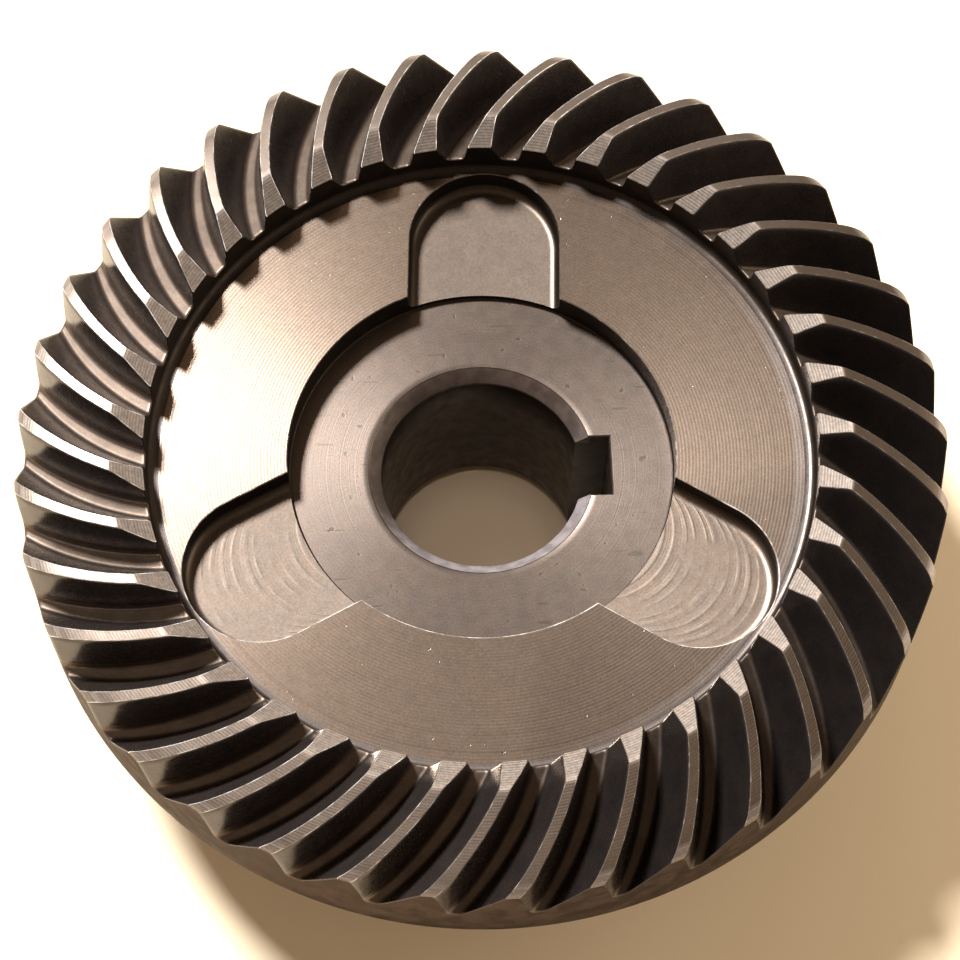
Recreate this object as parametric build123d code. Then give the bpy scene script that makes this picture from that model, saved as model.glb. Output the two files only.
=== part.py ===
from build123d import *
import math
import os

# Spiral bevel crown gear, one steel piece.  Millimetres and degrees.
# +Z runs along the axis towards the teeth; the origin is the centre of the
# boss end face.  The keyway is centred on the +X half axis.

# Teeth
TEETH = 37
GAP_PHASE = 4.4          # angle of one tooth gap where it leaves the outer rim
CUTTER_RADIUS = 26.0     # radius of the tooth curve seen along the axis
MEAN_RADIUS = 33.0       # radius at which the spiral angle is stated
SPIRAL_ANGLE = 35.0      # right-hand spiral
FLANK_ANGLE = 18.5
LAND_WIDTH = 0.77        # flat on top of each tooth, across the tooth
ROOT_FILLET = 0.4

# Toothed rim
RIM_RADIUS = 36.35
HEEL_Z = 23.0            # height of the outer tooth corners
HEEL_CHAMFER_R = 0.9
HEEL_CHAMFER_Z = 0.45
CREST_RADIUS = 28.72     # where the face cone meets the inner flare
CREST_Z = 24.77
WALL_RADIUS = 26.3       # turned wall between the teeth and the disc
FLARE_END_Z = 23.6
ROOT_HEEL_Z = 18.4
ROOT_TOE_Z = 21.9
RIM_BACK_Z = 13.6
RIM_BACK_CHAMFER = 0.5

# Disc, counterbore and pockets
DISC_Z = 20.53
WALL_FILLET = 0.6
COUNTERBORE_RADIUS = 15.32
COUNTERBORE_Z = 18.0
POCKETS = 3
POCKET_PHASE = 87.4
POCKET_WIDTH = 12.3
POCKET_END_CENTRE = 19.5
POCKET_Z = 18.5
POCKET_FLOOR_FILLET = 0.7

# Boss, bore and keyway
BORE_RADIUS = 8.0
BORE_CHAMFER = 1.0
BOSS_RADIUS = 12.5
BOSS_CHAMFER = 1.0
BOSS_FILLET = 2.0
KEYWAY_WIDTH = 5.0
KEYWAY_BOTTOM = 10.3     # distance from the axis to the keyway bottom


def gear_blank():
    """The turned blank, bored through, before any tooth or pocket is cut."""
    with BuildPart() as blank:
        with BuildSketch(Plane.XZ):
            with BuildLine():
                Polyline(
                    (BORE_RADIUS + BORE_CHAMFER, 0),
                    (BORE_RADIUS, BORE_CHAMFER),
                    (BORE_RADIUS, COUNTERBORE_Z - BORE_CHAMFER),
                    (BORE_RADIUS + BORE_CHAMFER, COUNTERBORE_Z),
                    (COUNTERBORE_RADIUS, COUNTERBORE_Z),
                    (COUNTERBORE_RADIUS, DISC_Z),
                    (WALL_RADIUS - WALL_FILLET, DISC_Z),
                )
                RadiusArc(
                    (WALL_RADIUS - WALL_FILLET, DISC_Z),
                    (WALL_RADIUS, DISC_Z + WALL_FILLET),
                    -WALL_FILLET,
                )
                Polyline(
                    (WALL_RADIUS, DISC_Z + WALL_FILLET),
                    (WALL_RADIUS, FLARE_END_Z),
                    (CREST_RADIUS, CREST_Z),
                    (RIM_RADIUS - HEEL_CHAMFER_R, HEEL_Z + HEEL_CHAMFER_Z),
                    (RIM_RADIUS, HEEL_Z),
                    (RIM_RADIUS, RIM_BACK_Z + RIM_BACK_CHAMFER),
                    (RIM_RADIUS - RIM_BACK_CHAMFER, RIM_BACK_Z),
                    (BOSS_RADIUS + BOSS_FILLET, RIM_BACK_Z),
                )
                RadiusArc(
                    (BOSS_RADIUS + BOSS_FILLET, RIM_BACK_Z),
                    (BOSS_RADIUS, RIM_BACK_Z - BOSS_FILLET),
                    -BOSS_FILLET,
                )
                Polyline(
                    (BOSS_RADIUS, RIM_BACK_Z - BOSS_FILLET),
                    (BOSS_RADIUS, BOSS_CHAMFER),
                    (BOSS_RADIUS - BOSS_CHAMFER, 0),
                    (BORE_RADIUS + BORE_CHAMFER, 0),
                )
            make_face()
        revolve(axis=Axis.Z)
    return blank.part


def face_height(radius):
    """Height of the face cone, the surface that carries the tooth lands."""
    heel_radius = RIM_RADIUS - HEEL_CHAMFER_R
    heel_height = HEEL_Z + HEEL_CHAMFER_Z
    slope = (CREST_Z - heel_height) / (heel_radius - CREST_RADIUS)
    return CREST_Z - slope * (radius - CREST_RADIUS)


ROOT_SLOPE = math.atan2(ROOT_TOE_Z - ROOT_HEEL_Z, RIM_RADIUS - WALL_RADIUS)


def root_height(radius):
    """Height of the root cone, the bottom of the tooth gaps."""
    return ROOT_HEEL_Z + math.tan(ROOT_SLOPE) * (RIM_RADIUS - radius)


# Distance from the gear axis to the centre of the circular tooth curve.
CURVE_OFFSET = math.sqrt(
    MEAN_RADIUS**2
    + CUTTER_RADIUS**2
    - 2 * MEAN_RADIUS * CUTTER_RADIUS * math.sin(math.radians(SPIRAL_ANGLE))
)


def spiral_at(radius):
    """Spiral angle in radians at a radius."""
    sine = (radius**2 + CUTTER_RADIUS**2 - CURVE_OFFSET**2) / (2 * radius * CUTTER_RADIUS)
    return math.asin(sine)


def polar_angle(radius):
    """Angle in radians from the curve centre to the tooth curve at a radius."""
    cosine = (radius**2 + CURVE_OFFSET**2 - CUTTER_RADIUS**2) / (2 * radius * CURVE_OFFSET)
    return math.acos(cosine)


def gap_section(radius):
    """Section of one tooth gap, square to the gap, where it meets the face cone."""
    spiral = spiral_at(radius)
    turn = polar_angle(radius) - polar_angle(RIM_RADIUS) + math.radians(GAP_PHASE)
    depth = (face_height(radius) - root_height(radius)) * math.cos(ROOT_SLOPE)
    root_radius = radius - depth * math.sin(ROOT_SLOPE)

    radial = Vector(math.cos(turn), math.sin(turn), 0)
    tangent = Vector(-math.sin(turn), math.cos(turn), 0)
    axial = Vector(0, 0, 1)
    outward = radial * math.cos(ROOT_SLOPE) - axial * math.sin(ROOT_SLOPE)
    cone_normal = radial * math.sin(ROOT_SLOPE) + axial * math.cos(ROOT_SLOPE)
    along = outward * math.cos(spiral) - tangent * math.sin(spiral)
    origin = radial * root_radius + axial * root_height(root_radius)
    plane = Plane(origin=origin, x_dir=cone_normal.cross(along), z_dir=along)

    flank = math.tan(math.radians(FLANK_ANGLE))
    pitch = 2 * math.pi * radius / TEETH * math.cos(spiral)
    face_half = (pitch - LAND_WIDTH) / 2
    root_half = face_half - depth * flank
    clearance = 0.55
    top = depth + clearance
    top_half = face_half + clearance * flank
    with BuildSketch(plane) as section:
        with BuildLine():
            FilletPolyline(
                (-top_half, top),
                (-root_half, 0),
                (root_half, 0),
                (top_half, top),
                radius=ROOT_FILLET,
            )
            Line((top_half, top), (-top_half, top))
        make_face()
    return section.sketch


def tooth_gap():
    """One tooth gap as a solid, run out past both ends of the teeth."""
    first = WALL_RADIUS - 1.7
    last = RIM_RADIUS + 2.9
    steps = 7
    radii = [first + (last - first) * i / steps for i in range(steps + 1)]
    return loft([gap_section(radius) for radius in radii])


def pocket():
    """One milled pocket running out from the counterbore along +X."""
    height = DISC_Z + 1 - POCKET_Z
    length = POCKET_END_CENTRE - BOSS_RADIUS
    with BuildPart() as tool:
        with BuildSketch(Plane.XY.offset(POCKET_Z)):
            with Locations((BOSS_RADIUS + length / 2, 0)):
                Rectangle(length, POCKET_WIDTH)
            with Locations((POCKET_END_CENTRE, 0)):
                Circle(POCKET_WIDTH / 2)
        extrude(amount=height)
        fillet(tool.faces().sort_by(Axis.Z)[0].edges(), POCKET_FLOOR_FILLET)
    return tool.part


def keyway():
    """The keyway tool, longer than the bore at both ends."""
    tool = Box(KEYWAY_BOTTOM, KEYWAY_WIDTH, COUNTERBORE_Z + 2)
    return Pos(KEYWAY_BOTTOM / 2, 0, COUNTERBORE_Z / 2) * tool


gap = tooth_gap()
gaps = [gap.rotate(Axis.Z, 360 * i / TEETH) for i in range(TEETH)]
slot = pocket()
slots = [slot.rotate(Axis.Z, POCKET_PHASE + 360 * i / POCKETS) for i in range(POCKETS)]

crown_gear = gear_blank() - slots - keyway() - gaps

os.makedirs("parts", exist_ok=True)
export_step(crown_gear, "parts/crown_gear.step")
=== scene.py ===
import math

import bmesh
import bpy
import numpy as np
from mathutils import Matrix, Vector


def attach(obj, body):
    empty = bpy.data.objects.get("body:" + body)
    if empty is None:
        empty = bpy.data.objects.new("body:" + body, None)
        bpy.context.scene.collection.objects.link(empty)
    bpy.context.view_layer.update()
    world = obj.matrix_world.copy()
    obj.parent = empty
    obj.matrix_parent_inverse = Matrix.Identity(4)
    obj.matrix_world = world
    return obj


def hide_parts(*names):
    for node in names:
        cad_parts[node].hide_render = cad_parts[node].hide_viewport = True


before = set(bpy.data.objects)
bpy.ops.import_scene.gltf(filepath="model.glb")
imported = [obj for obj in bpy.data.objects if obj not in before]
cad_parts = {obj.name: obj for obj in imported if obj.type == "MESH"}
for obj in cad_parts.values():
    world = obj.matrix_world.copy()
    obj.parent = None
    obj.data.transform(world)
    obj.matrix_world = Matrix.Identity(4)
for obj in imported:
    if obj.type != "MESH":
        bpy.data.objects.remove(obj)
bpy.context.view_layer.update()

# A spiral bevel crown gear as one closed mesh, with a finish for each kind of
# surface, on a plain floor.  The mesh stands for the CAD node crown_gear.

MM = 0.001

# ---------------------------------------------------------------- dimensions
# Millimetres and degrees, the same numbers as the CAD part.
TEETH = 37
GAP_PHASE = 4.4
CUTTER_RADIUS = 26.0
MEAN_RADIUS = 33.0
SPIRAL_ANGLE = 35.0
FLANK_ANGLE = 18.5
LAND_WIDTH = 0.77
ROOT_FILLET = 0.4

RIM_RADIUS = 36.35
HEEL_Z = 23.0
HEEL_CHAMFER_R = 0.9
HEEL_CHAMFER_Z = 0.45
CREST_RADIUS = 28.72
CREST_Z = 24.77
WALL_RADIUS = 26.3
FLARE_END_Z = 23.6
ROOT_HEEL_Z = 18.4
ROOT_TOE_Z = 21.9
RIM_BACK_Z = 13.6
RIM_BACK_CHAMFER = 0.5

DISC_Z = 20.53
WALL_FILLET = 0.6
COUNTERBORE_RADIUS = 15.32
COUNTERBORE_Z = 18.0
POCKETS = 3
POCKET_PHASE = 87.4
POCKET_WIDTH = 12.3
POCKET_END_CENTRE = 19.5
POCKET_Z = 18.5
POCKET_FLOOR_FILLET = 0.7

BORE_RADIUS = 8.0
BORE_CHAMFER = 1.0
BOSS_RADIUS = 12.5
BOSS_CHAMFER = 1.0
BOSS_FILLET = 2.0
KEYWAY_WIDTH = 5.0
KEYWAY_BOTTOM = 10.3

# Wear and broken edges, in this mesh only.
EDGE = 0.12              # width of the broken edges along the teeth
EDGE_MIDDLE = (0.55, 0.66)  # middle point of such an edge, as parts of its width and height
EDGE_BREAK = 0.08        # broken edges of the turned and milled features
EDGE_ROUND = 0.03        # middle point of those edges
KEYWAY_BREAK = 0.12      # broken edges at both ends of the keyway
TOOTH_END_BREAK = 0.1    # how far the ends of the tooth gaps open out
WALL_BREAK_REACH = 0.16  # over this distance from the inner wall
RIM_BREAK_REACH = 0.14   # and over this distance from the rim
DISC_GROOVES = [(24.5, 0.12), (23.1, 0.06)]  # faint tool marks: radius and darkness
CREST_SOFTNESS = 0.1     # rounds the corner between a tooth's land and its flare
HEEL_SOFTNESS = 0.2      # rounds the start of the heel chamfer
HEEL_ROLL = 0.28         # how far the outer corner of a land is worn down
HEEL_ROLL_REACH = 0.6    # over this distance from the rim
HEEL_ROUND = 0.22        # how far one flank opens out at the rim
HEEL_ROUND_REACH = 1.1   # over this distance from the rim

# Mesh density
RING_COLUMNS = 370       # columns of the plain turned surfaces
FLANK_STEPS = 8
FILLET_STEPS = 5
POCKET_END_POINTS = 49
WALL_JOIN_Z = 21.45      # the tooth columns end here on the inner wall
RIM_JOIN_Z = 17.9        # and here on the rim
STATION_STEPS = 12       # Newton steps that find a point on a cylinder
HEIGHT_STEPS = 14        # steps that find the height of a flank

# Starts of the cutting tools, inside the holes that are already there
POCKET_START = 12.4
KEYWAY_START = 2.0

# Stage
FLOOR_HALF = 2.0         # metres
AIM_HEIGHT = 0.02        # metres above the floor, where the lamps point
CAMERA_DISTANCE = 200.0  # from the middle of the toothed side
WHITE = (1.0, 1.0, 1.0)

# Material slots of the gear mesh
TURNED, LAND, EDGE_LINE, FLANK, RIM, WALL, HUB, POCKET, BORE, BACK = range(10)


# ---------------------------------------------------------------- mesh store
class Mesh:
    """Points and faces of one closed surface, with a material per face."""

    def __init__(self):
        self.blocks = []
        self.count = 0
        self.faces = []
        self.slots = []

    def points(self, xyz):
        xyz = np.asarray(xyz, float).reshape(-1, 3)
        first = self.count
        self.blocks.append(xyz)
        self.count += len(xyz)
        return np.arange(first, first + len(xyz))

    def strip(self, low, high, slot):
        """Quads between two closed rings with the same number of points."""
        low_next, high_next = np.roll(low, -1), np.roll(high, -1)
        slots = np.broadcast_to(slot, len(low))
        for a, b, c, d, s in zip(low, low_next, high_next, high, slots):
            self.faces.append((int(a), int(b), int(c), int(d)))
            self.slots.append(int(s))

    def bridge(self, low, low_angle, high, high_angle, slot):
        """Triangles between two closed rings with different numbers of points.

        Both rings run anticlockwise from the point with the smallest angle."""
        n, m = len(low), len(high)
        i = j = 0
        while i < n or j < m:
            next_low = low_angle[(i + 1) % n] + 2 * math.pi * ((i + 1) // n)
            next_high = high_angle[(j + 1) % m] + 2 * math.pi * ((j + 1) // m)
            a, b = int(low[i % n]), int(high[j % m])
            if j == m or (i < n and next_low <= next_high):
                self.faces.append((a, int(low[(i + 1) % n]), b))
                i += 1
            else:
                self.faces.append((a, int(high[(j + 1) % m]), b))
                j += 1
            self.slots.append(slot)

    def build(self, name, materials):
        xyz = np.concatenate(self.blocks) * MM
        mesh = bpy.data.meshes.new(name)
        mesh.from_pydata(xyz.tolist(), [], self.faces)
        for material in materials:
            mesh.materials.append(material)
        mesh.polygons.foreach_set("material_index", self.slots)
        mesh.validate()
        mesh.update()
        piece = bpy.data.objects.new(name, mesh)
        bpy.context.scene.collection.objects.link(piece)
        return piece


# ---------------------------------------------------------------- tooth form
def smooth_min(values, softness):
    """The lowest of several heights, with the corners between them rounded."""
    values = np.stack(values)
    low = values.min(0)
    return low - softness * np.log(np.exp((low - values) / softness).sum(0))


def line(r, r0, z0, r1, z1):
    """Height at r of the straight line through two points."""
    return z0 + (z1 - z0) * (r - r0) / (r1 - r0)


HEEL_R = RIM_RADIUS - HEEL_CHAMFER_R
HEEL_TOP = HEEL_Z + HEEL_CHAMFER_Z


def blank_top(r):
    """Height of the turned blank over the teeth, corners slightly rounded."""
    flare = line(r, WALL_RADIUS, FLARE_END_Z, CREST_RADIUS, CREST_Z)
    face = line(r, CREST_RADIUS, CREST_Z, HEEL_R, HEEL_TOP)
    heel = line(r, HEEL_R, HEEL_TOP, RIM_RADIUS, HEEL_Z)
    top = smooth_min([smooth_min([flare, face], CREST_SOFTNESS), heel], HEEL_SOFTNESS)
    return top - HEEL_ROLL * np.clip(1 - (RIM_RADIUS - r) / HEEL_ROLL_REACH, 0, 1) ** 2


def face_height(r):
    return line(r, CREST_RADIUS, CREST_Z, HEEL_R, HEEL_TOP)


def root_height(r):
    return line(r, WALL_RADIUS, ROOT_TOE_Z, RIM_RADIUS, ROOT_HEEL_Z)


ROOT_SLOPE = math.atan2(ROOT_TOE_Z - ROOT_HEEL_Z, RIM_RADIUS - WALL_RADIUS)
SPIRAL = math.radians(SPIRAL_ANGLE)
# Distance from the gear axis to the centre of the circular tooth curve
CURVE_OFFSET = math.sqrt(
    MEAN_RADIUS**2 + CUTTER_RADIUS**2
    - 2 * MEAN_RADIUS * CUTTER_RADIUS * math.sin(SPIRAL)
)
FLANK_TILT = math.radians(FLANK_ANGLE)
FILLET_TURN = math.pi / 2 - FLANK_TILT
FILLET_REACH = ROOT_FILLET * math.tan(FILLET_TURN / 2)


def polar_angle(r):
    return np.arccos((r**2 + CURVE_OFFSET**2 - CUTTER_RADIUS**2) / (2 * r * CURVE_OFFSET))


def gap_point(station, side, turn, height, grow):
    """A point of the tooth gap's surface.

    station: radius where the section meets the face cone; side: -1 or +1;
    turn: angle round the root fillet, negative on the root flat, where it is
    the fraction towards the middle; height: distance up the flank above the
    fillet; grow: how far the surface is offset into the teeth."""
    spiral = np.arcsin(
        (station**2 + CUTTER_RADIUS**2 - CURVE_OFFSET**2) / (2 * station * CUTTER_RADIUS)
    )
    angle = polar_angle(station) - polar_angle(RIM_RADIUS) + math.radians(GAP_PHASE)
    depth = (face_height(station) - root_height(station)) * math.cos(ROOT_SLOPE)
    root_r = station - depth * math.sin(ROOT_SLOPE)
    pitch = 2 * math.pi * station / TEETH * np.cos(spiral)
    root_half = (pitch - LAND_WIDTH) / 2 - depth * math.tan(FLANK_TILT)
    flat = root_half - FILLET_REACH

    bend = np.clip(turn, 0, FILLET_TURN)
    centre = np.where(turn < 0, 1 + turn, 1.0)
    x = flat * centre + (ROOT_FILLET + grow) * np.sin(bend) + height * math.sin(FLANK_TILT)
    y = ROOT_FILLET - (ROOT_FILLET + grow) * np.cos(bend) + height * math.cos(FLANK_TILT)
    x = x * side

    cos_a, sin_a = np.cos(angle), np.sin(angle)
    zero = np.zeros_like(angle)
    radial = np.stack([cos_a, sin_a, zero], -1)
    tangent = np.stack([-sin_a, cos_a, zero], -1)
    axial = np.array([0.0, 0.0, 1.0])
    outward = radial * math.cos(ROOT_SLOPE) - axial * math.sin(ROOT_SLOPE)
    normal = radial * math.sin(ROOT_SLOPE) + axial * math.cos(ROOT_SLOPE)
    along = outward * np.cos(spiral)[..., None] - tangent * np.sin(spiral)[..., None]
    across = np.cross(normal, along)
    origin = radial * root_r[..., None] + axial * root_height(root_r)[..., None]
    return origin + across * x[..., None] + normal * y[..., None]


def radius_of(p):
    return np.hypot(p[..., 0], p[..., 1])


def at_radius(radius, side, turn, height, grow):
    """The gap point of one feature on the cylinder of a given radius."""
    shape = np.broadcast(radius, side, turn, height, grow).shape
    radius, side, turn, height, grow = (
        np.broadcast_to(v, shape).astype(float) for v in (radius, side, turn, height, grow)
    )
    station = radius + 0.0
    nudge = 1e-3
    for _ in range(STATION_STEPS):
        p = gap_point(station, side, turn, height, grow)
        q = gap_point(station + nudge, side, turn, height, grow)
        slope = (radius_of(q) - radius_of(p)) / nudge
        station = station - (radius_of(p) - radius) / slope
    return gap_point(station, side, turn, height, grow)


def flank_top(radius, side, grow, drop):
    """Height up the flank where it meets the blank's top, less a drop."""
    first_guess = 3.5
    damping = 0.98
    height = np.full_like(radius, first_guess)
    goal = blank_top(radius) - drop
    for _ in range(HEIGHT_STEPS):
        p = at_radius(radius, side, FILLET_TURN, height, grow)
        height = height - (p[..., 2] - goal) / math.cos(ROOT_SLOPE) * damping
    return height


def tooth_rows():
    """Radii of the rows of points across the teeth, closer at the corners."""
    corner = [0.0, 0.03, 0.08, 0.16, 0.3]
    rows = [WALL_RADIUS + c for c in corner]
    rows += list(np.linspace(26.9, 28.0, 4))
    rows += [28.22, 28.4, 28.55, 28.66, 28.76, 28.88, 29.03, 29.25]
    rows += list(np.linspace(29.6, 34.6, 16))
    rows += [34.85, 35.05, 35.22, 35.37, 35.5, 35.64, 35.8, 35.96]
    rows += [RIM_RADIUS - c for c in (0.24, 0.14, 0.07, 0.03, 0.0)]
    return np.array(rows)


def tooth_columns():
    """Angle and height of every point of one gap and one land, row by row.

    Returns radii, angles, heights and the material of each column of faces."""
    radius = tooth_rows()
    from_wall = radius - WALL_RADIUS
    from_rim = RIM_RADIUS - radius
    wall_break = TOOTH_END_BREAK * np.clip(1 - from_wall / WALL_BREAK_REACH, 0, 1) ** 2
    rim_break = TOOTH_END_BREAK * np.clip(1 - from_rim / RIM_BREAK_REACH, 0, 1) ** 2
    grow = wall_break + rim_break
    heel_round = HEEL_ROUND * np.clip(1 - from_rim / HEEL_ROUND_REACH, 0, 1) ** 2

    angles, heights, slots = [], [], []

    def add(points, slot):
        angles.append(np.arctan2(points[:, 1], points[:, 0]))
        heights.append(points[:, 2])
        slots.append(slot)

    tops = {side: flank_top(radius, side, grow, EDGE) for side in (-1.0, 1.0)}

    def flank_points(side, fraction):
        extra = heel_round * fraction**2 if side < 0 else 0.0
        return at_radius(radius, side, FILLET_TURN, tops[side] * fraction, grow + extra)

    down = np.linspace(1, 0, FLANK_STEPS + 1)
    bend = np.linspace(FILLET_TURN, 0, FILLET_STEPS + 1)[1:]
    for fraction in down:
        add(flank_points(-1.0, fraction), FLANK)
    for turn in bend:
        add(at_radius(radius, -1.0, turn, 0.0, grow), FLANK)
    for fraction in (-0.34, -0.67):
        add(at_radius(radius, -1.0, fraction, 0.0, grow), FLANK)
    add(at_radius(radius, 1.0, -1.0, 0.0, grow), FLANK)
    for fraction in (-0.67, -0.34):
        add(at_radius(radius, 1.0, fraction, 0.0, grow), FLANK)
    for turn in bend[::-1]:
        add(at_radius(radius, 1.0, turn, 0.0, grow), FLANK)
    for fraction in down[::-1]:
        add(flank_points(1.0, fraction), FLANK)

    # Land of the next tooth, from its clockwise edge to its other edge.
    pitch = 2 * math.pi / TEETH
    start = angles[-1]
    end = angles[0] + pitch
    top = blank_top(radius)
    inset = EDGE / radius
    part, rise = EDGE_MIDDLE
    middle = inset * part
    for shift, lift in ((middle, rise), (inset, 1.0)):
        angles.append(start + shift)
        heights.append(top - EDGE * (1 - lift))
        slots.append(EDGE_LINE)
    slots[-1] = LAND
    for fraction in (0.33, 0.67):
        angles.append(start + inset + (end - start - 2 * inset) * fraction)
        heights.append(top + 0.0)
        slots.append(LAND)
    for shift, lift in ((inset, 1.0), (middle, rise)):
        angles.append(end - shift)
        heights.append(top - EDGE * (1 - lift))
        slots.append(EDGE_LINE)
    slots[-1] = FLANK
    return radius, np.array(angles), np.array(heights), np.array(slots)


# ---------------------------------------------------------------- gear body
def ring_points(radius, height, angles):
    """Points round the gear at one radius."""
    return np.stack(
        [radius * np.cos(angles), radius * np.sin(angles), np.broadcast_to(height, angles.shape)],
        -1,
    )


def arc(centre_r, centre_z, radius, start, end, steps):
    """Profile points round an arc, angles in degrees from the +r direction."""
    turns = np.radians(np.linspace(start, end, steps + 1))
    return [(centre_r + radius * math.cos(t), centre_z + radius * math.sin(t)) for t in turns]


def inner_profile():
    """The turned profile from the inner wall down, in through the bore and out
    again to the side of the rim: (radius, height, material) triples."""
    b = EDGE_BREAK
    parts = []

    def run(points, slot):
        parts.extend((r, z, slot) for r, z in points)

    run([(WALL_RADIUS, DISC_Z + WALL_FILLET + 0.06)], WALL)
    run(arc(WALL_RADIUS - WALL_FILLET, DISC_Z + WALL_FILLET, WALL_FILLET, 0, -90, 7), WALL)
    run([(r, DISC_Z) for r in (25.4, 24, 22, 20, 18, 16.5, 15.8)], TURNED)
    run([(COUNTERBORE_RADIUS + b, DISC_Z)], EDGE_LINE)
    run([(COUNTERBORE_RADIUS + EDGE_ROUND, DISC_Z - EDGE_ROUND)], EDGE_LINE)
    run([(COUNTERBORE_RADIUS, DISC_Z - b)], WALL)
    run([(COUNTERBORE_RADIUS, COUNTERBORE_Z + 0.2)], WALL)
    run(arc(COUNTERBORE_RADIUS - 0.2, COUNTERBORE_Z + 0.2, 0.2, -20, -70, 3), WALL)
    run([(COUNTERBORE_RADIUS - 0.2, COUNTERBORE_Z)], HUB)
    run([(r, COUNTERBORE_Z) for r in (14, 12, 10.5, 9.5)], HUB)
    top = BORE_RADIUS + BORE_CHAMFER
    run([(top + 0.06, COUNTERBORE_Z), (top + 0.01, COUNTERBORE_Z - 0.02)], HUB)
    run([(top - 0.05, COUNTERBORE_Z - 0.07)], BORE)
    low = COUNTERBORE_Z - BORE_CHAMFER
    run([(BORE_RADIUS + 0.06, low + 0.05), (BORE_RADIUS, low - 0.05)], BORE)
    run([(BORE_RADIUS, z) for z in (13, 9, 5)], BORE)
    run([(BORE_RADIUS, BORE_CHAMFER + 0.05), (BORE_RADIUS + 0.06, BORE_CHAMFER - 0.05)], BORE)
    run([(top - 0.06, 0.05), (top + 0.05, 0.0)], BACK)
    end = BOSS_RADIUS - BOSS_CHAMFER
    run([(end - 0.1, 0.0), (end, 0.02), (end + 0.08, 0.08)], BACK)
    run([(BOSS_RADIUS - 0.08, BOSS_CHAMFER - 0.08), (BOSS_RADIUS, BOSS_CHAMFER + 0.1)], BACK)
    run([(BOSS_RADIUS, z) for z in (4, 8)], BACK)
    fillet_r, fillet_z = BOSS_RADIUS + BOSS_FILLET, RIM_BACK_Z - BOSS_FILLET
    run(arc(fillet_r, fillet_z, BOSS_FILLET, 180, 90, 10), BACK)
    run([(r, RIM_BACK_Z) for r in (18, 23, 28, 33)], BACK)
    rim_in = RIM_RADIUS - RIM_BACK_CHAMFER
    run([(rim_in - 0.06, RIM_BACK_Z), (rim_in + 0.03, RIM_BACK_Z + 0.04)], RIM)
    run([(RIM_RADIUS - 0.04, RIM_BACK_Z + RIM_BACK_CHAMFER - 0.04)], RIM)
    run([(RIM_RADIUS, RIM_BACK_Z + RIM_BACK_CHAMFER + 0.06)], RIM)
    run([(RIM_RADIUS, z) for z in (15.5, 17.0)], RIM)
    return parts


def sort_ring(ids, angles):
    """Rotates a closed ring so that its smallest angle in 0..360 comes first."""
    angles = np.mod(angles, 2 * math.pi)
    first = int(np.argmin(angles))
    return np.roll(ids, -first), np.roll(angles, -first)


def gear_mesh(materials):
    """The whole gear but for its pockets and keyway, as one closed surface."""
    mesh = Mesh()
    radius, angles, heights, column_slots = tooth_columns()
    pitch = 2 * math.pi / TEETH
    turns = np.arange(TEETH) * pitch
    all_angles = (turns[:, None, None] + angles[None]).reshape(-1, len(radius))
    all_heights = np.tile(heights, (TEETH, 1))
    slots = np.tile(column_slots, TEETH)

    rows = []
    for k in range(len(radius)):
        rows.append(mesh.points(ring_points(radius[k], all_heights[:, k], all_angles[:, k])))
    for low, high in zip(rows, rows[1:]):
        mesh.strip(high, low, slots)

    # The wall inside the teeth and the side of the rim below the gaps.
    wall = mesh.points(ring_points(WALL_RADIUS, WALL_JOIN_Z, all_angles[:, 0]))
    mesh.strip(rows[0], wall, WALL)
    rim = mesh.points(ring_points(RIM_RADIUS, RIM_JOIN_Z, all_angles[:, -1]))
    mesh.strip(rim, rows[-1], RIM)

    ring_angles = np.arange(RING_COLUMNS) * 2 * math.pi / RING_COLUMNS
    profile = inner_profile()
    rings = [mesh.points(ring_points(r, z, ring_angles)) for r, z, _ in profile]
    wall_ids, wall_angles = sort_ring(wall, all_angles[:, 0])
    mesh.bridge(wall_ids, wall_angles, rings[0], ring_angles, WALL)
    for i in range(len(rings) - 1):
        mesh.strip(rings[i], rings[i + 1], profile[i][2])
    rim_ids, rim_angles = sort_ring(rim, all_angles[:, -1])
    mesh.bridge(rings[-1], ring_angles, rim_ids, rim_angles, RIM)
    return mesh.build("crown_gear_visual", materials)


def slab(mesh, outline, levels, slots):
    """A closed tool: one outline function drawn at several (offset, height)."""
    rings = [mesh.points([(x, y, z) for x, y in outline(offset)]) for offset, z in levels]
    for low, high, slot in zip(rings, rings[1:], slots):
        mesh.strip(low, high, slot)
    mesh.faces.append(tuple(int(i) for i in rings[0][::-1]))
    mesh.slots.append(slots[0])
    mesh.faces.append(tuple(int(i) for i in rings[-1]))
    mesh.slots.append(slots[-1])


def pocket_outline(angle):
    """Outline of the pocket at an angle: two straight sides and a round end."""
    turn = math.radians(angle)

    def outline(offset):
        half = POCKET_WIDTH / 2 + offset
        ends = np.linspace(-math.pi / 2, math.pi / 2, POCKET_END_POINTS)
        u = POCKET_END_CENTRE + half * np.cos(ends)
        v = half * np.sin(ends)
        u = np.concatenate([[POCKET_START], u, [POCKET_START]])
        v = np.concatenate([[-half], v, [half]])
        return np.stack(
            [u * math.cos(turn) - v * math.sin(turn), u * math.sin(turn) + v * math.cos(turn)], -1
        )

    return outline


def keyway_outline(offset):
    half = KEYWAY_WIDTH / 2 + offset
    end = KEYWAY_BOTTOM + offset
    return [(KEYWAY_START, -half), (end, -half), (end, half), (KEYWAY_START, half)]


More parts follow.
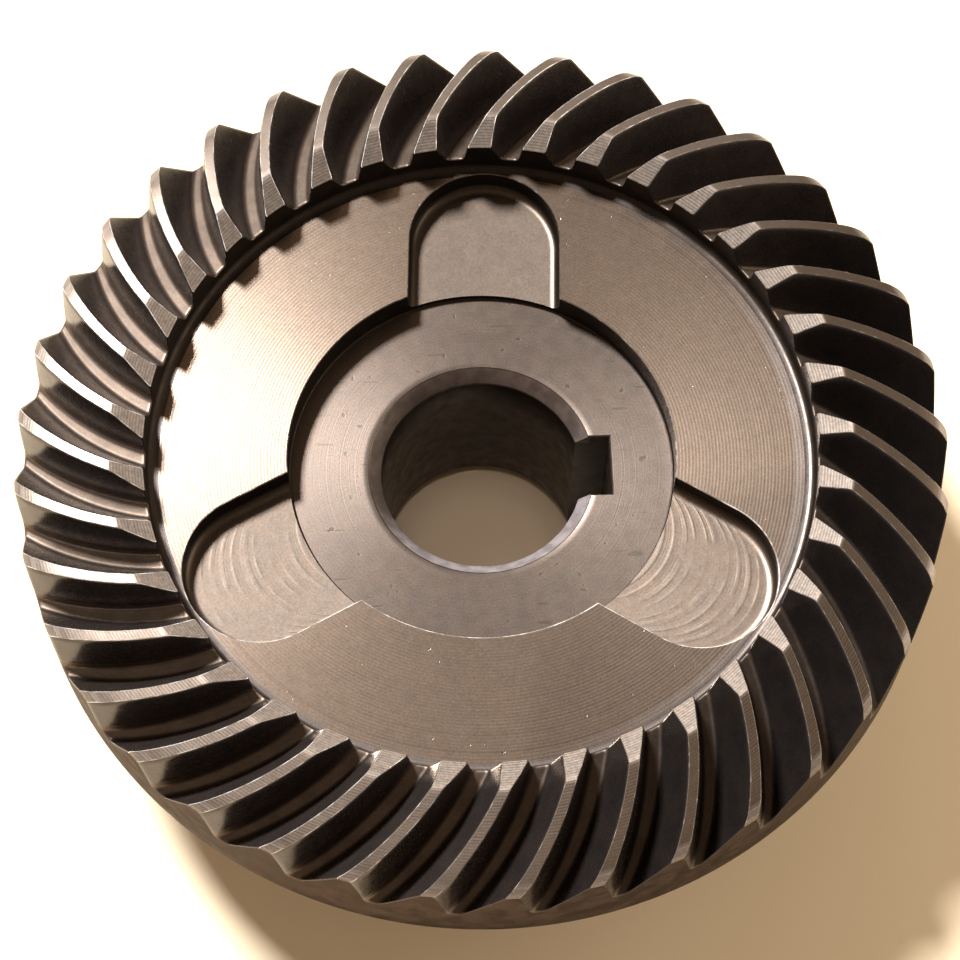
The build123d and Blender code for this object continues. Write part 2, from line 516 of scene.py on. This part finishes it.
def cutting_tools(materials):
    """The three pocket tools and the keyway tool in one mesh."""
    mesh = Mesh()
    fillet = [
        (-POCKET_FLOOR_FILLET * (1 - math.sin(t)), POCKET_Z + POCKET_FLOOR_FILLET * (1 - math.cos(t)))
        for t in np.linspace(0, math.pi / 2, 8)
    ]
    levels = [(-1.2, POCKET_Z), (-0.8, POCKET_Z)] + fillet + [
        (0.0, DISC_Z - EDGE_BREAK),
        (EDGE_ROUND, DISC_Z - EDGE_ROUND),
        (EDGE_BREAK, DISC_Z + 0.001),
        (EDGE_BREAK, DISC_Z + 1),
    ]
    slots = [POCKET] * 9 + [WALL, EDGE_LINE, EDGE_LINE, EDGE_LINE]
    for i in range(POCKETS):
        slab(mesh, pocket_outline(POCKET_PHASE + 360 * i / POCKETS), levels, slots)
    key_levels = [
        (KEYWAY_BREAK, -1.0),
        (KEYWAY_BREAK, 0.0),
        (0.0, KEYWAY_BREAK),
        (0.0, COUNTERBORE_Z - KEYWAY_BREAK),
        (KEYWAY_BREAK, COUNTERBORE_Z),
        (KEYWAY_BREAK, COUNTERBORE_Z + 1),
    ]
    slab(mesh, keyway_outline, key_levels, [BORE, BORE, BORE, HUB, HUB])
    return mesh.build("cutting_tools", materials)


def cut(piece, tools):
    """Cuts the tools out of the piece and removes them."""
    modifier = piece.modifiers.new("cut", "BOOLEAN")
    modifier.operation = "DIFFERENCE"
    modifier.object = tools
    modifier.solver = "MANIFOLD"
    graph = bpy.context.evaluated_depsgraph_get()
    mesh = bpy.data.meshes.new_from_object(piece.evaluated_get(graph))
    piece.modifiers.clear()
    piece.data = mesh
    bpy.data.objects.remove(tools)


# ---------------------------------------------------------------- materials
# Sockets of a Mix node that mixes colours
COLOUR_A, COLOUR_B, COLOUR_OUT = 6, 7, 2


class Nodes:
    """Short calls that build the shader nodes of one material.

    x, y, z and r are millimetres in the gear's frame; angle is radians."""

    def __init__(self, material):
        material.use_nodes = True
        self.tree = material.node_tree
        self.tree.nodes.clear()
        place = self.make("ShaderNodeTexCoord").outputs["Object"]
        self.mm = self.vector("SCALE", place, scale=1000.0)
        split = self.make("ShaderNodeSeparateXYZ")
        self.join(self.mm, split.inputs[0])
        self.x, self.y, self.z = split.outputs
        self.r = self.math("SQRT", self.add(self.mul(self.x, self.x), self.mul(self.y, self.y)))
        self.angle = self.math("ARCTAN2", self.y, self.x)

    def make(self, kind, **settings):
        node = self.tree.nodes.new(kind)
        for key, value in settings.items():
            setattr(node, key, value)
        return node

    def join(self, value, socket):
        if isinstance(value, bpy.types.NodeSocket):
            self.tree.links.new(value, socket)
        else:
            socket.default_value = value

    def math(self, operation, *values):
        node = self.make("ShaderNodeMath", operation=operation)
        for value, socket in zip(values, node.inputs):
            self.join(value, socket)
        return node.outputs[0]

    def add(self, a, b):
        return self.math("ADD", a, b)

    def sub(self, a, b):
        return self.math("SUBTRACT", a, b)

    def mul(self, a, b):
        return self.math("MULTIPLY", a, b)

    def vector(self, operation, *values, scale=None):
        node = self.make("ShaderNodeVectorMath", operation=operation)
        for value, socket in zip(values, node.inputs):
            self.join(value, socket)
        if scale is not None:
            self.join(scale, node.inputs["Scale"])
        return node.outputs[0]

    def step(self, value, low, high, start=0.0, end=1.0):
        """Smooth change from start to end while value goes from low to high."""
        node = self.make("ShaderNodeMapRange", interpolation_type="SMOOTHSTEP")
        for item, socket in zip((value, low, high, start, end), node.inputs):
            self.join(item, socket)
        return node.outputs[0]

    def noise(self, scale, detail=2.0, rough=0.5, at=None):
        """Noise of a given number of waves per millimetre, about 0 to 1."""
        node = self.make("ShaderNodeTexNoise")
        self.join(self.mm if at is None else at, node.inputs["Vector"])
        for key, value in (("Scale", scale), ("Detail", detail), ("Roughness", rough)):
            self.join(value, node.inputs[key])
        return node.outputs[0]

    def wave(self, value, pitch):
        """Sine of value, -1 to 1, repeating every pitch millimetres."""
        return self.math("SINE", self.mul(value, 2 * math.pi / pitch))

    def lines(self, value, scale, detail=3.0):
        """Uneven parallel lines along one coordinate, about 0 to 1."""
        node = self.make("ShaderNodeTexNoise", noise_dimensions="1D")
        self.join(value, node.inputs["W"])
        for key, number in (("Scale", scale), ("Detail", detail), ("Roughness", 0.6)):
            self.join(number, node.inputs[key])
        return node.outputs[0]

    def mix(self, factor, a, b):
        node = self.make("ShaderNodeMix", data_type="RGBA")
        a, b = ((*c, 1.0) if isinstance(c, tuple) else c for c in (a, b))
        self.join(factor, node.inputs["Factor"])
        self.join(a, node.inputs[COLOUR_A])
        self.join(b, node.inputs[COLOUR_B])
        return node.outputs[COLOUR_OUT]

    def shade(self, colour, factor):
        """The colour multiplied by a number."""
        return self.vector("SCALE", colour, scale=factor)

    def surface(self, colour, rough, height, depth_mm, metal=1.0, stretch=0.0, edge_tint=1.0):
        """The finished surface: height times depth_mm is its relief, stretch draws
        its highlights out round the axis, and edge_tint dims grazing reflections."""
        shader = self.make("ShaderNodeBsdfPrincipled")
        bump = self.make("ShaderNodeBump")
        self.join(height, bump.inputs["Height"])
        self.join(1.0, bump.inputs["Strength"])
        self.join(depth_mm * MM, bump.inputs["Distance"])
        self.join(bump.outputs[0], shader.inputs["Normal"])
        self.join(colour, shader.inputs["Base Color"])
        self.join(rough, shader.inputs["Roughness"])
        self.join(metal, shader.inputs["Metallic"])
        self.join((edge_tint, edge_tint, edge_tint, 1.0), shader.inputs["Specular Tint"])
        if stretch:
            tangent = self.make("ShaderNodeTangent", direction_type="RADIAL", axis="Z")
            self.join(tangent.outputs[0], shader.inputs["Tangent"])
            self.join(stretch, shader.inputs["Anisotropic"])
            self.join(0.25, shader.inputs["Anisotropic Rotation"])
        out = self.make("ShaderNodeOutputMaterial")
        self.join(shader.outputs[0], out.inputs["Surface"])


def mottled(n, warm, cool, scale=0.9):
    """Two close steel tints in soft patches, with a fine grain over them."""
    patch = n.step(n.noise(scale, 4.0, 0.6), 0.38, 0.62)
    grain = n.noise(7.0, 2.0, 0.6)
    return n.shade(n.mix(patch, warm, cool), n.step(grain, 0.2, 0.8, 0.82, 1.18))


def turned(n, place, warm, cool, pitch, depth, contrast, rough, stretch=0.4, metal=1.0, patchy=0.1):
    """A lathe-turned face: fine rings along place, uneven from ring to ring.

    pitch: distance between rings; depth: their relief; contrast: how dark
    they are; patchy: how much the roughness changes from place to place."""
    spiral = n.add(place, n.mul(n.angle, pitch / (2 * math.pi)))
    ring = n.wave(spiral, pitch)
    uneven = n.lines(place, 1.6 / pitch)
    height = n.add(n.mul(ring, 0.5), uneven)
    broken = n.step(n.noise(0.12, 3.0), 0.35, 0.65, 0.35, 1.0)
    lines = n.mul(n.add(n.mul(ring, 0.5), n.mul(n.sub(uneven, 0.5), 1.5)), broken)
    colour = n.shade(mottled(n, warm, cool), n.add(1.0, n.mul(lines, contrast)))
    pits = n.step(n.noise(1.9, 2.0), 0.72, 0.78)
    colour = n.mix(n.mul(pits, 0.4), colour, (0.10, 0.08, 0.06))
    roughness = n.add(rough, n.mul(n.sub(n.noise(1.2, 3.0), 0.5), patchy))
    height = n.sub(n.mul(height, depth), n.mul(pits, 0.006))
    n.surface(colour, roughness, height, 1.0, metal=metal, stretch=stretch)


def disc_material(material):
    """Turned disc: two faint tool marks, and on the right a paler outer band, partly a change of
    finish and partly a painted highlight.

    The rings are painted clearest at the near side, where the light picks them out, and painted shade
    darkens the near right."""
    n = Nodes(material)
    # Paler outer band past the first groove: partly a change of finish, partly a painted highlight,
    # since it is kept to the right and taken off the far side.
    band = n.step(n.r, DISC_GROOVES[0][0], DISC_GROOVES[0][0] + 0.25)
    band = n.mul(band, n.mul(n.step(n.y, 6.0, 16.0, 1.0, 0.1), n.step(n.x, 2.0, 14.0, 0.1, 1.0)))
    warm = n.mix(band, (0.236, 0.177, 0.136), (0.280, 0.226, 0.194))
    cool = n.mix(band, (0.228, 0.174, 0.136), (0.270, 0.222, 0.194))
    for radius, strength in DISC_GROOVES:
        groove = n.step(n.math("ABSOLUTE", n.sub(n.r, radius)), 0.03, 0.16, 1.0, 0.0)
        mark = n.sub(1.0, n.mul(groove, strength))
        warm, cool = n.shade(warm, mark), n.shade(cool, mark)
    # Painted shade: the disc darkens towards its near right quarter.
    corner = n.mul(n.math("MAXIMUM", n.x, 0.0), n.mul(n.y, -1.0))
    painted_shading = n.step(corner, 20.0, 120.0, 1.0, 0.8)
    warm, cool = n.shade(warm, painted_shading), n.shade(cool, painted_shading)
    # Painted light: the ring marks are drawn stronger at the near side, where the light picks them
    # out.
    contrast = n.step(n.sub(n.mul(n.x, 0.4), n.y), 4.0, 20.0, 0.07, 0.3)
    turned(n, n.r, warm, cool, 0.27, 0.0022, contrast, 0.292, patchy=0.03)


def tooth_height(n):
    """0 at the bottom of a tooth gap, 1 at the top of the tooth."""
    slope = (CREST_Z - HEEL_TOP) / (HEEL_R - CREST_RADIUS)
    face = n.sub(CREST_Z + slope * CREST_RADIUS, n.mul(n.r, slope))
    fall = (ROOT_TOE_Z - ROOT_HEEL_Z) / (RIM_RADIUS - WALL_RADIUS)
    root = n.sub(ROOT_HEEL_Z + fall * RIM_RADIUS, n.mul(n.r, fall))
    return n.math("DIVIDE", n.sub(n.z, root), n.sub(face, root))


def flank_material(material):
    """Black glossy flanks, brown in the bottom of the gaps, more so on one side; painted shade
    darkens them towards the right.
    """
    n = Nodes(material)
    height = tooth_height(n)
    normal = n.make("ShaderNodeSeparateXYZ")
    n.join(n.make("ShaderNodeNewGeometry").outputs["Normal"], normal.inputs[0])
    across = n.sub(n.mul(n.y, normal.outputs[0]), n.mul(n.x, normal.outputs[1]))
    clockwise = n.step(n.math("DIVIDE", across, n.r), 0.15, 0.45)
    edge = n.sub(0.15, n.mul(clockwise, 0.11))
    edge = n.add(edge, n.mul(n.sub(n.noise(0.8, 2.0), 0.5), 0.05))
    low = n.sub(1.0, n.step(height, n.sub(edge, 0.03), n.add(edge, 0.03)))
    worn = n.step(height, 0.93, 1.0)
    patch = n.step(n.noise(0.5, 3.0), 0.35, 0.65)
    black = n.mix(patch, (0.054, 0.041, 0.036), (0.041, 0.033, 0.031))
    brown = n.mix(patch, (0.140, 0.104, 0.080), (0.112, 0.084, 0.066))
    colour = n.mix(low, black, brown)
    colour = n.mix(n.mul(worn, 0.25), colour, (0.30, 0.26, 0.23))
    colour = n.shade(colour, n.step(n.noise(5.0, 2.0), 0.2, 0.8, 0.85, 1.15))
    # Painted shade: the flanks darken towards the right.
    side = n.sub(n.x, n.mul(n.y, 0.5))
    colour = n.shade(colour, n.step(side, 8.0, 30.0, 1.0, 0.55))
    along = n.add(n.z, n.mul(n.r, math.tan(ROOT_SLOPE)))
    scratches = n.lines(along, 5.0)
    rough = n.add(n.mul(low, 0.18), n.add(0.26, n.mul(n.sub(n.noise(1.5, 3.0), 0.5), 0.14)))
    bump = n.add(n.mul(scratches, 0.5), n.mul(n.noise(6.0, 2.0), 0.25))
    n.surface(colour, rough, bump, 0.006, metal=n.add(0.6, n.mul(low, 0.25)))


def land_material(material):
    """Tops and flares of the teeth, turned across, worn satin at the outer end.

    Painted shade makes the tops browner on the right and the flares darker at the far side."""
    n = Nodes(material)
    flare = n.step(n.r, CREST_RADIUS - 0.15, CREST_RADIUS + 0.1, 1.0, 0.0)
    heel = n.step(n.r, HEEL_R - 0.1, HEEL_R + 0.35)
    patch = n.add(1.0, n.mul(n.mul(flare, n.sub(n.noise(3.0, 3.0), 0.5)), 1.1))
    depth = n.add(0.002, n.mul(flare, 0.006))
    contrast = n.step(flare, 0.0, 1.0, n.step(n.y, -24.0, -6.0, 0.5, 0.16), 0.4)
    rough = n.add(n.add(0.3, n.mul(flare, 0.27)), n.mul(heel, 0.12))
    # Painted shade: the tops turn a darker brown towards the right.
    far = n.step(n.sub(n.x, n.mul(n.y, 0.4)), 10.0, 26.0)
    warm = n.mix(far, (0.212, 0.166, 0.134), (0.138, 0.098, 0.068))
    warm = n.mix(flare, warm, (0.212, 0.166, 0.134))
    warm = n.shade(n.mix(heel, warm, (0.27, 0.22, 0.19)), patch)
    cool = n.mix(far, (0.204, 0.163, 0.134), (0.130, 0.096, 0.070))
    cool = n.mix(flare, cool, (0.198, 0.160, 0.132))
    cool = n.shade(n.mix(heel, cool, (0.25, 0.21, 0.18)), patch)
    # Painted shade: darker towards the right, and the flares darker at the far side.
    painted_shading = n.step(n.x, 6.0, 28.0, 1.0, 0.8)
    painted_shading = n.mul(painted_shading, n.sub(1.0, n.mul(flare, n.step(n.y, 8.0, 24.0, 0.0, 0.3))))
    warm, cool = n.shade(warm, painted_shading), n.shade(cool, painted_shading)
    metal = n.sub(0.74, n.mul(flare, 0.24))
    turned(n, n.r, warm, cool, 0.22, depth, contrast, rough, 0.0, metal)


def edge_material(material):
    """Broken edges: polished bright, but painted shade dims them at the inner edges'
    far side and on the teeth of the right side."""
    n = Nodes(material)
    inner = n.step(n.r, WALL_RADIUS - 0.4, WALL_RADIUS - 0.1, 1.0, 0.0)
    # Painted shade: the edges round the inner features are dimmed on the far side, and those of the
    # teeth on the right side.
    inner_far_side_shade = n.mul(inner, n.step(n.y, -6.0, 4.0))
    right_teeth_shade = n.mul(n.sub(1.0, inner), n.step(n.add(n.x, n.mul(n.y, -0.4)), -8.0, 18.0))
    painted_edge_shade = n.math("MAXIMUM", inner_far_side_shade, n.mul(right_teeth_shade, 0.85))
    wear = n.step(n.sub(n.noise(1.1, 3.0), n.mul(painted_edge_shade, 0.18)), 0.35, 0.65)
    dark = n.mix(painted_edge_shade, (0.30, 0.25, 0.21), (0.09, 0.07, 0.055))
    colour = n.mix(wear, dark, n.mix(painted_edge_shade, (0.95, 0.91, 0.87), (0.42, 0.37, 0.33)))
    rough = n.step(n.noise(3.0, 2.0), 0.3, 0.7, 0.3, 0.5)
    n.surface(colour, rough, n.noise(8.0, 2.0), 0.01, metal=0.4)


def rim_material(material):
    """Side of the rim: smooth, with faint rings and light handling marks."""
    n = Nodes(material)
    colour = mottled(n, (0.125, 0.096, 0.080), (0.110, 0.087, 0.075), 0.6)
    rings = n.lines(n.z, 9.0)
    colour = n.shade(colour, n.step(rings, 0.3, 0.7, 0.93, 1.07))
    rough = n.step(n.noise(0.7, 4.0), 0.3, 0.7, 0.36, 0.5)
    bump = n.add(rings, n.mul(n.noise(4.0, 2.0), 0.5))
    n.surface(colour, rough, bump, 0.006, edge_tint=0.35)


def wall_material(material):
    """Short turned walls, darker than the faces, and the fillet round the disc: its pale foot is
    partly turned finish, partly a painted highlight.
    """
    n = Nodes(material)
    fillet = n.step(n.z, DISC_Z + 0.02, DISC_Z + 0.12, 1.0, 0.0)
    fillet = n.mul(fillet, n.step(n.r, WALL_RADIUS - 2, WALL_RADIUS - 1))
    # Painted shade: the pale foot of the fillet is taken away at the far side and dimmed at the near
    # side.
    fillet = n.mul(fillet, n.step(n.y, 6.0, 14.0, 1.0, 0.15))
    fillet = n.mul(fillet, n.step(n.y, -22.0, -12.0, 0.55, 1.0))
    dark = mottled(n, (0.042, 0.032, 0.026), (0.036, 0.029, 0.024))
    colour = n.mix(fillet, dark, mottled(n, (0.100, 0.081, 0.072), (0.092, 0.077, 0.070)))
    rings = n.lines(n.add(n.z, n.r), 6.0)
    colour = n.shade(colour, n.step(rings, 0.3, 0.7, 0.9, 1.1))
    rough = n.sub(n.step(n.noise(1.0, 3.0), 0.3, 0.7, 0.46, 0.58), n.mul(fillet, 0.12))
    n.surface(colour, rough, rings, 0.008)


def hub_material(material):
    """Floor round the bore: finer finish with pits and a few scratches."""
    n = Nodes(material)
    colour = mottled(n, (0.117, 0.090, 0.074), (0.111, 0.088, 0.074), 0.7)
    rings = n.lines(n.r, 8.0)
    colour = n.shade(colour, n.step(rings, 0.3, 0.7, 0.94, 1.06))
    pits = n.step(n.noise(0.9, 2.0), 0.70, 0.74)
    colour = n.mix(n.mul(pits, 0.6), colour, (0.05, 0.04, 0.035))
    stretched = n.vector("MULTIPLY", n.mm, (0.35, 2.4, 1.0))
    scratches = n.step(n.noise(0.8, 1.0, at=stretched), 0.72, 0.78)
    colour = n.mix(n.mul(scratches, 0.45), colour, (0.06, 0.05, 0.04))
    rough = n.step(n.noise(0.9, 4.0), 0.3, 0.7, 0.355, 0.385)
    bump = n.sub(n.mul(rings, 0.8), n.add(n.mul(pits, 0.6), n.mul(scratches, 0.5)))
    n.surface(colour, rough, bump, 0.005, stretch=0.35)


def pocket_material(material):
    """Pocket floors with the arcs left by the end mill, one set per pocket.

    Painted light and shade: the floors are lighter to the right, darker at the far side and darker up
    the fillets."""
    n = Nodes(material)
    third = 2 * math.pi / POCKETS
    local = n.sub(n.angle, math.radians(POCKET_PHASE))
    turns = n.math("ROUND", n.math("DIVIDE", local, third))
    local = n.sub(local, n.mul(turns, third))
    u = n.mul(n.r, n.math("COSINE", local))
    v = n.mul(n.r, n.math("SINE", local))
    cutter_squared = 38.5
    reach = n.math("SQRT", n.math("MAXIMUM", n.sub(cutter_squared, n.mul(v, v)), 0.01))
    front = n.sub(u, reach)
    uneven = n.lines(front, 1.1, 2.0)
    arcs = n.wave(n.add(front, n.mul(uneven, 0.5)), 0.95)
    arcs = n.math("POWER", n.add(n.mul(arcs, 0.5), 0.5), 2.0)
    fine = n.lines(front, 5.0)
    fade = n.step(n.noise(0.3, 2.0), 0.38, 0.62, 0.1, 1.0)
    side = n.step(n.sub(n.mul(n.x, 0.3), n.y), -15.0, 15.0, 0.12, 1.0)
    fade = n.mul(fade, side)
    colour = mottled(n, (0.170, 0.130, 0.103), (0.158, 0.125, 0.102), 0.6)
    lines = n.mul(n.add(n.mul(arcs, 0.7), n.mul(n.sub(fine, 0.5), 0.8)), fade)
    # Painted light and shade: lighter to the right, darker at the far side, lighter left of x -6.5
    # mm, and darker up the fillets.
    painted_shading = n.mul(n.step(n.x, -18.0, 18.0, 0.53, 1.30), n.step(n.y, 0.0, 18.0, 1.0, 0.63))
    painted_shading = n.mul(painted_shading, n.step(n.x, -6.5, -2.0, 1.22, 1.0))
    painted_shading = n.mul(painted_shading, n.step(n.z, POCKET_Z + 0.02, POCKET_Z + 0.2, 1.0, 0.5))
    colour = n.shade(colour, n.add(painted_shading, n.mul(lines, 0.12)))
    rough = n.step(n.noise(0.9, 4.0), 0.3, 0.7, 0.385, 0.415)
    n.surface(colour, rough, n.mul(n.add(arcs, n.mul(fine, 0.7)), fade), 0.009)


def bore_material(material):
    """Dark bore and keyway; the top chamfer is brown, with a painted highlight turning it light
    towards the near right.
    """
    n = Nodes(material)
    top = n.mul(n.step(n.z, 16.7, 17.1), n.step(n.r, 9.0, 9.2, 1.0, 0.0))
    wall = mottled(n, (0.045, 0.035, 0.033), (0.036, 0.030, 0.031), 0.6)
    # Painted highlight: the chamfer turns a light lilac towards the near right.
    near = n.sub(n.mul(n.x, 0.4), n.mul(n.y, 0.92))
    chamfer = n.mix(n.step(near, -1.5, 5.5), (0.080, 0.057, 0.047), (0.26, 0.225, 0.225))
    chamfer = n.shade(chamfer, n.step(n.noise(0.9, 3.0), 0.35, 0.65, 0.8, 1.25))
    colour = n.mix(top, wall, chamfer)
    rings = n.lines(n.add(n.z, n.r), 7.0)
    colour = n.shade(colour, n.step(rings, 0.3, 0.7, 0.93, 1.07))
    rough = n.add(n.step(n.noise(1.0, 3.0), 0.3, 0.7, 0.34, 0.48), n.mul(top, 0.12))
    n.surface(colour, rough, rings, 0.008, metal=n.sub(1.0, n.mul(top, 0.55)))


def back_material(material):
    """Boss and back of the rim: coarsely turned."""
    n = Nodes(material)
    warm, cool = (0.20, 0.155, 0.12), (0.185, 0.15, 0.12)
    turned(n, n.add(n.r, n.z), warm, cool, 0.34, 0.010, 0.25, 0.38)


def crease(piece, material_angle, angle):
    """Keeps smooth shading from crossing corners, most of all between finishes."""
    mesh = bmesh.new()
    mesh.from_mesh(piece.data)
    for face in mesh.faces:
        face.smooth = True
    for edge in mesh.edges:
        first, second = edge.link_faces
        same = first.material_index == second.material_index
        edge.smooth = edge.calc_face_angle(0.0) < math.radians(angle if same else material_angle)
    mesh.to_mesh(piece.data)
    mesh.free()


names = ["turned", "land", "edge", "flank", "rim", "wall", "hub", "pocket", "bore", "back"]
materials = [bpy.data.materials.new("gear_" + name) for name in names]
finishes = {
    TURNED: disc_material,
    LAND: land_material,
    EDGE_LINE: edge_material,
    FLANK: flank_material,
    RIM: rim_material,
    WALL: wall_material,
    HUB: hub_material,
    POCKET: pocket_material,
    BORE: bore_material,
    BACK: back_material,
}
for number, finish in finishes.items():
    finish(materials[number])

gear = gear_mesh(materials)
cut(gear, cutting_tools(materials))
crease(gear, 8, 32)
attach(gear, "root")
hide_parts("crown_gear")


# ---------------------------------------------------------------- stage
def floor_material():
    """Warm white paper."""
    material = bpy.data.materials.new("floor_paper")
    n = Nodes(material)
    colour = n.mix(n.noise(0.02, 3.0), (0.88, 0.72, 0.50), (0.91, 0.76, 0.55))
    n.surface(colour, 0.7, n.noise(1.5, 3.0), 0.01, metal=0.0)
    return material


def floor():
    """A flat square sheet."""
    mesh = bpy.data.meshes.new("floor")
    a = FLOOR_HALF
    mesh.from_pydata([(-a, -a, 0), (a, -a, 0), (a, a, 0), (-a, a, 0)], [], [(0, 1, 2, 3)])
    mesh.materials.append(floor_material())
    sheet = bpy.data.objects.new("floor", mesh)
    bpy.context.scene.collection.objects.link(sheet)


def lamp(name, direction, distance, size, power, colour):
    """A square soft light aimed at the gear from a direction, hidden from the camera."""
    data = bpy.data.lights.new(name, "AREA")
    data.size = size
    data.energy = power
    data.color = colour
    light = bpy.data.objects.new(name, data)
    light.location = Vector(direction).normalized() * distance + Vector((0, 0, AIM_HEIGHT))
    light.visible_camera = False
    aim(light, direction)


def sun(direction, power, width):
    """The key light: far away, so the whole floor is evenly lit."""
    data = bpy.data.lights.new("key", "SUN")
    data.energy = power
    data.angle = math.radians(width)
    aim(bpy.data.objects.new("key", data), direction)


def snoot(height, width, power, colour):
    """A narrow beam straight down the bore, onto the floor inside it."""
    data = bpy.data.lights.new("snoot", "SPOT")
    data.energy = power
    data.color = colour
    data.spot_size = 2 * math.atan(width / 2 / height)
    data.spot_blend = 0.4
    data.shadow_soft_size = 0.004
    light = bpy.data.objects.new("snoot", data)
    light.location = (0.0, 0.0, height)
    aim(light, (0.0, 0.0, 1.0))


def aim(light, direction):
    """Turns a light to shine from a direction, and adds it to the scene."""
    light.rotation_mode = "QUATERNION"
    light.rotation_quaternion = Vector(direction).to_track_quat("Z", "Y")
    bpy.context.scene.collection.objects.link(light)


def camera():
    """A long lens, 65.7 degrees above the floor, turned a little about the gear."""
    elevation, turn, roll = (math.radians(v) for v in (65.68, -2.4, 0.536))
    target = Vector((-0.116, -1.93, 20.0)) * MM
    data = bpy.data.cameras.new("camera")
    data.sensor_width = 36.0
    data.lens = 95.415
    data.clip_start = 0.01
    data.clip_end = 10.0
    eye = bpy.data.objects.new("camera", data)
    tilt = Matrix.Rotation(math.pi / 2 - elevation, 4, "X") @ Matrix.Rotation(roll, 4, "Z")
    back = tilt @ Vector((0.0, 0.0, 1.0))
    place = Matrix.Translation(target + back * CAMERA_DISTANCE * MM)
    eye.matrix_world = Matrix.Rotation(turn, 4, "Z") @ place @ tilt
    bpy.context.scene.collection.objects.link(eye)
    bpy.context.scene.camera = eye


def sky(overhead, horizon, backdrop):
    """Warm light from above, paler near the horizon.  The camera sees a backdrop."""
    world = bpy.data.worlds.new("studio")
    world.use_nodes = True
    tree = world.node_tree
    direction = tree.nodes.new("ShaderNodeTexCoord").outputs["Generated"]
    split = tree.nodes.new("ShaderNodeSeparateXYZ")
    rise = tree.nodes.new("ShaderNodeMapRange")
    rise.inputs["From Max"].default_value = 0.35
    blend = tree.nodes.new("ShaderNodeMix")
    blend.data_type = "RGBA"
    blend.inputs[COLOUR_A].default_value = (*horizon, 1.0)
    blend.inputs[COLOUR_B].default_value = (*overhead, 1.0)
    light = tree.nodes["Background"]
    seen = tree.nodes.new("ShaderNodeBackground")
    seen.inputs["Color"].default_value = (*backdrop, 1.0)
    path = tree.nodes.new("ShaderNodeLightPath")
    mix = tree.nodes.new("ShaderNodeMixShader")
    for start, end in (
        (direction, split.inputs[0]),
        (split.outputs["Z"], rise.inputs["Value"]),
        (rise.outputs[0], blend.inputs["Factor"]),
        (blend.outputs[COLOUR_OUT], light.inputs["Color"]),
        (path.outputs["Is Camera Ray"], mix.inputs[0]),
        (light.outputs[0], mix.inputs[1]),
        (seen.outputs[0], mix.inputs[2]),
        (mix.outputs[0], tree.nodes["World Output"].inputs["Surface"]),
    ):
        tree.links.new(start, end)
    bpy.context.scene.world = world


floor()
sun((-0.37, 0.475, 0.80), 8.1, 12.0)
lamp("fill", (-0.9, -0.1, 0.55), 0.8, 0.6, 0.27, WHITE)
lamp("side", (0.95, 0.10, 0.30), 0.16, 0.1, 0.125, (1.0, 0.90, 0.74))
snoot(0.14, 0.020, 0.125, (1.0, 0.87, 0.80))
sky((0.30, 0.222, 0.155), (0.85, 0.77, 0.68), WHITE)
camera()
bpy.context.scene.view_settings.view_transform = "Standard"
